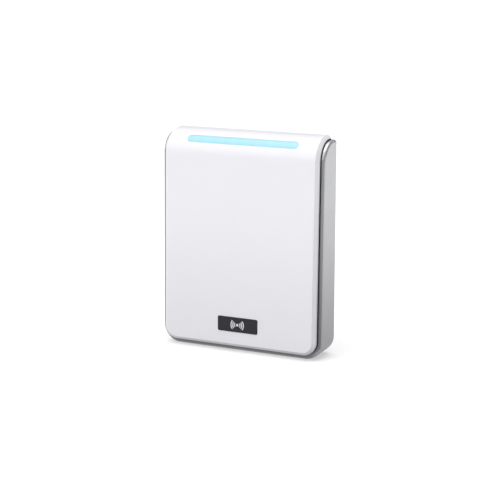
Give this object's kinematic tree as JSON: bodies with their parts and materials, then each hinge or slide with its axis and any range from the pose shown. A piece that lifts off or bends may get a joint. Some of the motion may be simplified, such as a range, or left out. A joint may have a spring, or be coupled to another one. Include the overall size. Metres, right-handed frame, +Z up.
{
  "type": "rfid card reader",
  "caption": "Upright wall card reader with a white wrapped cover, metal-look frame, lit bar and badge, hung on a hooked wall plate.",
  "frame": {"origin": "centre of the wall face, the back of the wall plate, midway between the housing's bottom and the cover's top", "axes": "+Z up, +Y into the wall so the face looks along -Y, +X to the right seen from the front"},
  "size_m": [0.097, 0.0232, 0.1216],
  "materials": {
    "plate_steel": "zinc plated, satin",
    "housing_metal": "satin, fine grain",
    "shell_plastic": "moulded, fine texture",
    "cover_white": "satin gloss",
    "seal_rubber": "matte",
    "bar_light": "lit, diffusing",
    "guide_clear": "clear moulding",
    "board": "solder mask",
    "lamp": "clear resin",
    "ribbon": "film",
    "part_ivory": "moulded",
    "badge_dark": "satin gloss",
    "badge_mark": "printed look",
    "aerial_copper": "gold flash over copper",
    "coil_copper": "enamelled copper",
    "ferrite": "sintered sheet",
    "chip_black": "moulded epoxy",
    "shield_tin": "tin plated",
    "capacitor_can": "printed can",
    "terminal_green": "moulded",
    "brass_parts": "turned",
    "screw_steel": "zinc plated"
  },
  "bodies": {
    "wall_mount": {"wall_plate": "plate_steel"},
    "tamper_button": {"tamper_plunger": "part_ivory"},
    "lock": {"locking_screw": "screw_steel"},
    "reader": {"housing": "housing_metal", "rear_shell": "shell_plastic", "front_cover": "cover_white", "cover_seal": "seal_rubber", "light_bar_lens": "bar_light", "light_guide": "guide_clear", "light_baffle": "shell_plastic", "lamp_board": "board", "lamps": "lamp", "lamp_ribbon": "ribbon", "ribbon_socket": "part_ivory", "badge_plate": "badge_dark", "badge_symbol": "badge_mark", "main_board": "board", "antenna_board": "board", "card_aerial": "aerial_copper", "low_band_coil": "coil_copper", "ferrite_sheet": "ferrite", "antenna_spacers": "part_ivory", "microcontroller": "chip_black", "reader_chip": "chip_black", "radio_shield": "shield_tin", "crystal": "shield_tin", "capacitors": "capacitor_can", "power_inductor": "chip_black", "sounder": "chip_black", "terminal_block": "terminal_green", "terminal_screws": "brass_parts", "board_screws": "screw_steel", "cover_screws": "screw_steel", "threaded_inserts": "brass_parts", "hinge_pins": "screw_steel", "weather_gasket": "seal_rubber", "tamper_switch": "chip_black", "tamper_spring": "screw_steel", "screw_retainer": "shell_plastic"}
  },
  "joints": [
    {"name": "reader_swing", "type": "hinge", "parent": "wall_mount", "child": "reader", "pos_m": [0, -0.0046, 0.0543], "axis": [-1, 0, 0], "range_deg": [0, 15]},
    {"name": "tamper_travel", "type": "slide", "parent": "reader", "child": "tamper_button", "axis": [0, 1, 0], "range_m": [0, 0.0015]},
    {"name": "lock_travel", "type": "slide", "parent": "reader", "child": "lock", "axis": [0, 0, 1], "range_m": [0, 0.00315]}
  ],
  "couplings": [
    {"joint": "tamper_travel", "follows": "reader_swing", "m_per_rad": 0.0057}
  ]
}
